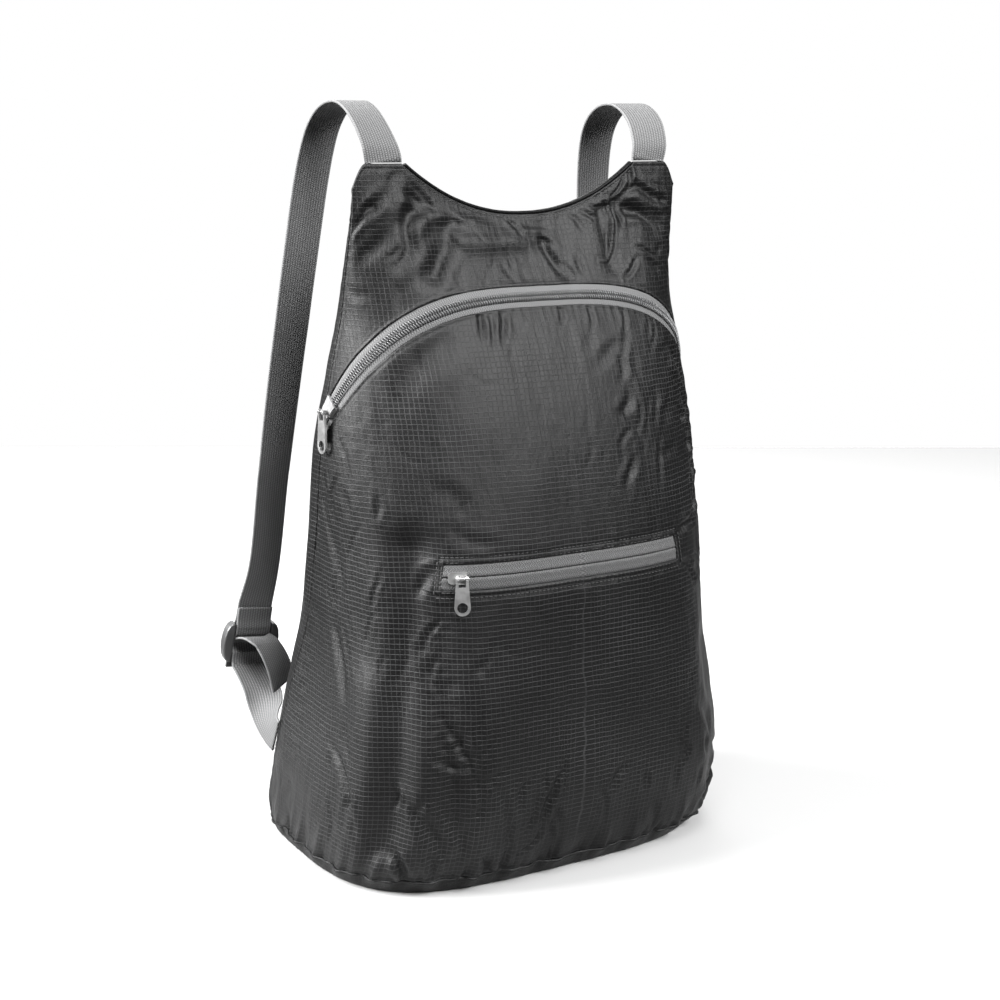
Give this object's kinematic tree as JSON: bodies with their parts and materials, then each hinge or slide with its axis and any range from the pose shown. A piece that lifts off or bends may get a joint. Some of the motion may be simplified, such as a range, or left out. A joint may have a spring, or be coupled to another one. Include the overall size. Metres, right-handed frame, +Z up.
{
  "type": "packable backpack",
  "caption": "Light ripstop backpack standing on its oval base, with an arched main zip, a straight pocket zip and two webbing shoulder straps with ladder locks.",
  "frame": {"origin": "on the floor under the middle of the bag's width, on the flat sole of the base panel, 45 mm behind the front edge of the sole", "axes": "+Z up, -Y towards the front with the pocket zip, +X towards the right of a viewer who faces the front"},
  "size_m": [0.2832, 0.1907, 0.431],
  "materials": {
    "cloth": "satin black ripstop nylon",
    "zip_tape": "grey woven zip tape",
    "zip_coil": "grey nylon coil",
    "metal": "polished nickel-coloured zinc",
    "webbing": "grey open-weave webbing",
    "buckle": "dark grey moulded plastic"
  },
  "bodies": {
    "bag": {"front_panel": "cloth", "front_yoke": "cloth", "back_panel": "cloth", "base_panel": "cloth", "neck_binding": "cloth", "main_zip_tape_upper": "zip_tape", "main_zip_tape_lower": "zip_tape", "main_zip_chain": "zip_coil", "pocket_zip_tape_upper": "zip_tape", "pocket_zip_tape_lower": "zip_tape", "main_slider": "metal", "pocket_slider": "metal", "strap_left_upper": "webbing", "strap_right_upper": "webbing", "strap_left_lower": "webbing", "strap_right_lower": "webbing", "buckle_left": "buckle", "buckle_right": "buckle"},
    "main_pull": {"main_pull": "metal"},
    "pocket_pull": {"pocket_pull": "metal"}
  },
  "joints": [
    {"name": "main_pull_swing", "type": "hinge", "parent": "bag", "child": "main_pull", "pos_m": [-0.11771, 0.01456, 0.26662], "axis": [-0.0985, 0.9951, 0], "range_deg": [0, 150]},
    {"name": "pocket_pull_swing", "type": "hinge", "parent": "bag", "child": "pocket_pull", "pos_m": [-0.07174, -0.05804, 0.18411], "axis": [-0.9094, 0.4159, 0], "range_deg": [0, 150]}
  ]
}
